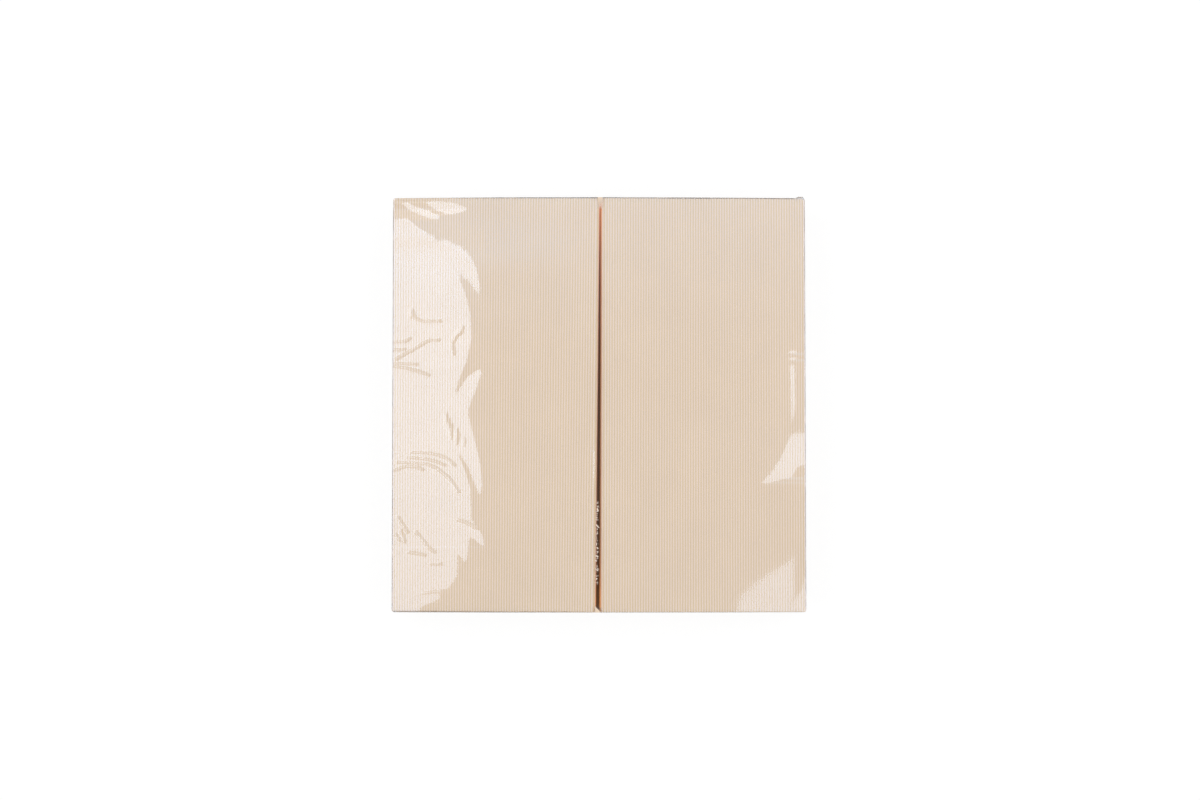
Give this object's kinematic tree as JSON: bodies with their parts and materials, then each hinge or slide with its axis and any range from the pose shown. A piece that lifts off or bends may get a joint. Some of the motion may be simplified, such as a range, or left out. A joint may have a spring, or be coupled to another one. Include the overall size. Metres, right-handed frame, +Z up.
{
  "type": "pack of paper napkins",
  "caption": "Sealed flat square pack: two side-by-side stacks of long book-folded soft paper napkins, held together by clear shrink film with a seam across each end.",
  "frame": {"origin": "middle of the pack's underside", "axes": "+X across the two stacks, +Y along the book folds, +Z up"},
  "size_m": [0.2068, 0.2096, 0.0421],
  "materials": {
    "film": "clear glossy shrink film, 0.05 mm",
    "paper": "soft uncoated beige napkin paper with fine lengthwise pinstripes"
  },
  "bodies": {
    "root": {"film_wrap": "film", "napkin_left_01": "paper", "napkin_left_02": "paper", "napkin_left_03": "paper", "napkin_left_04": "paper", "napkin_left_05": "paper", "napkin_left_06": "paper", "napkin_left_07": "paper", "napkin_left_08": "paper", "napkin_left_09": "paper", "napkin_left_10": "paper", "napkin_right_01": "paper", "napkin_right_02": "paper", "napkin_right_03": "paper", "napkin_right_04": "paper", "napkin_right_05": "paper", "napkin_right_06": "paper", "napkin_right_07": "paper", "napkin_right_08": "paper", "napkin_right_09": "paper", "napkin_right_10": "paper"}
  },
  "joints": []
}
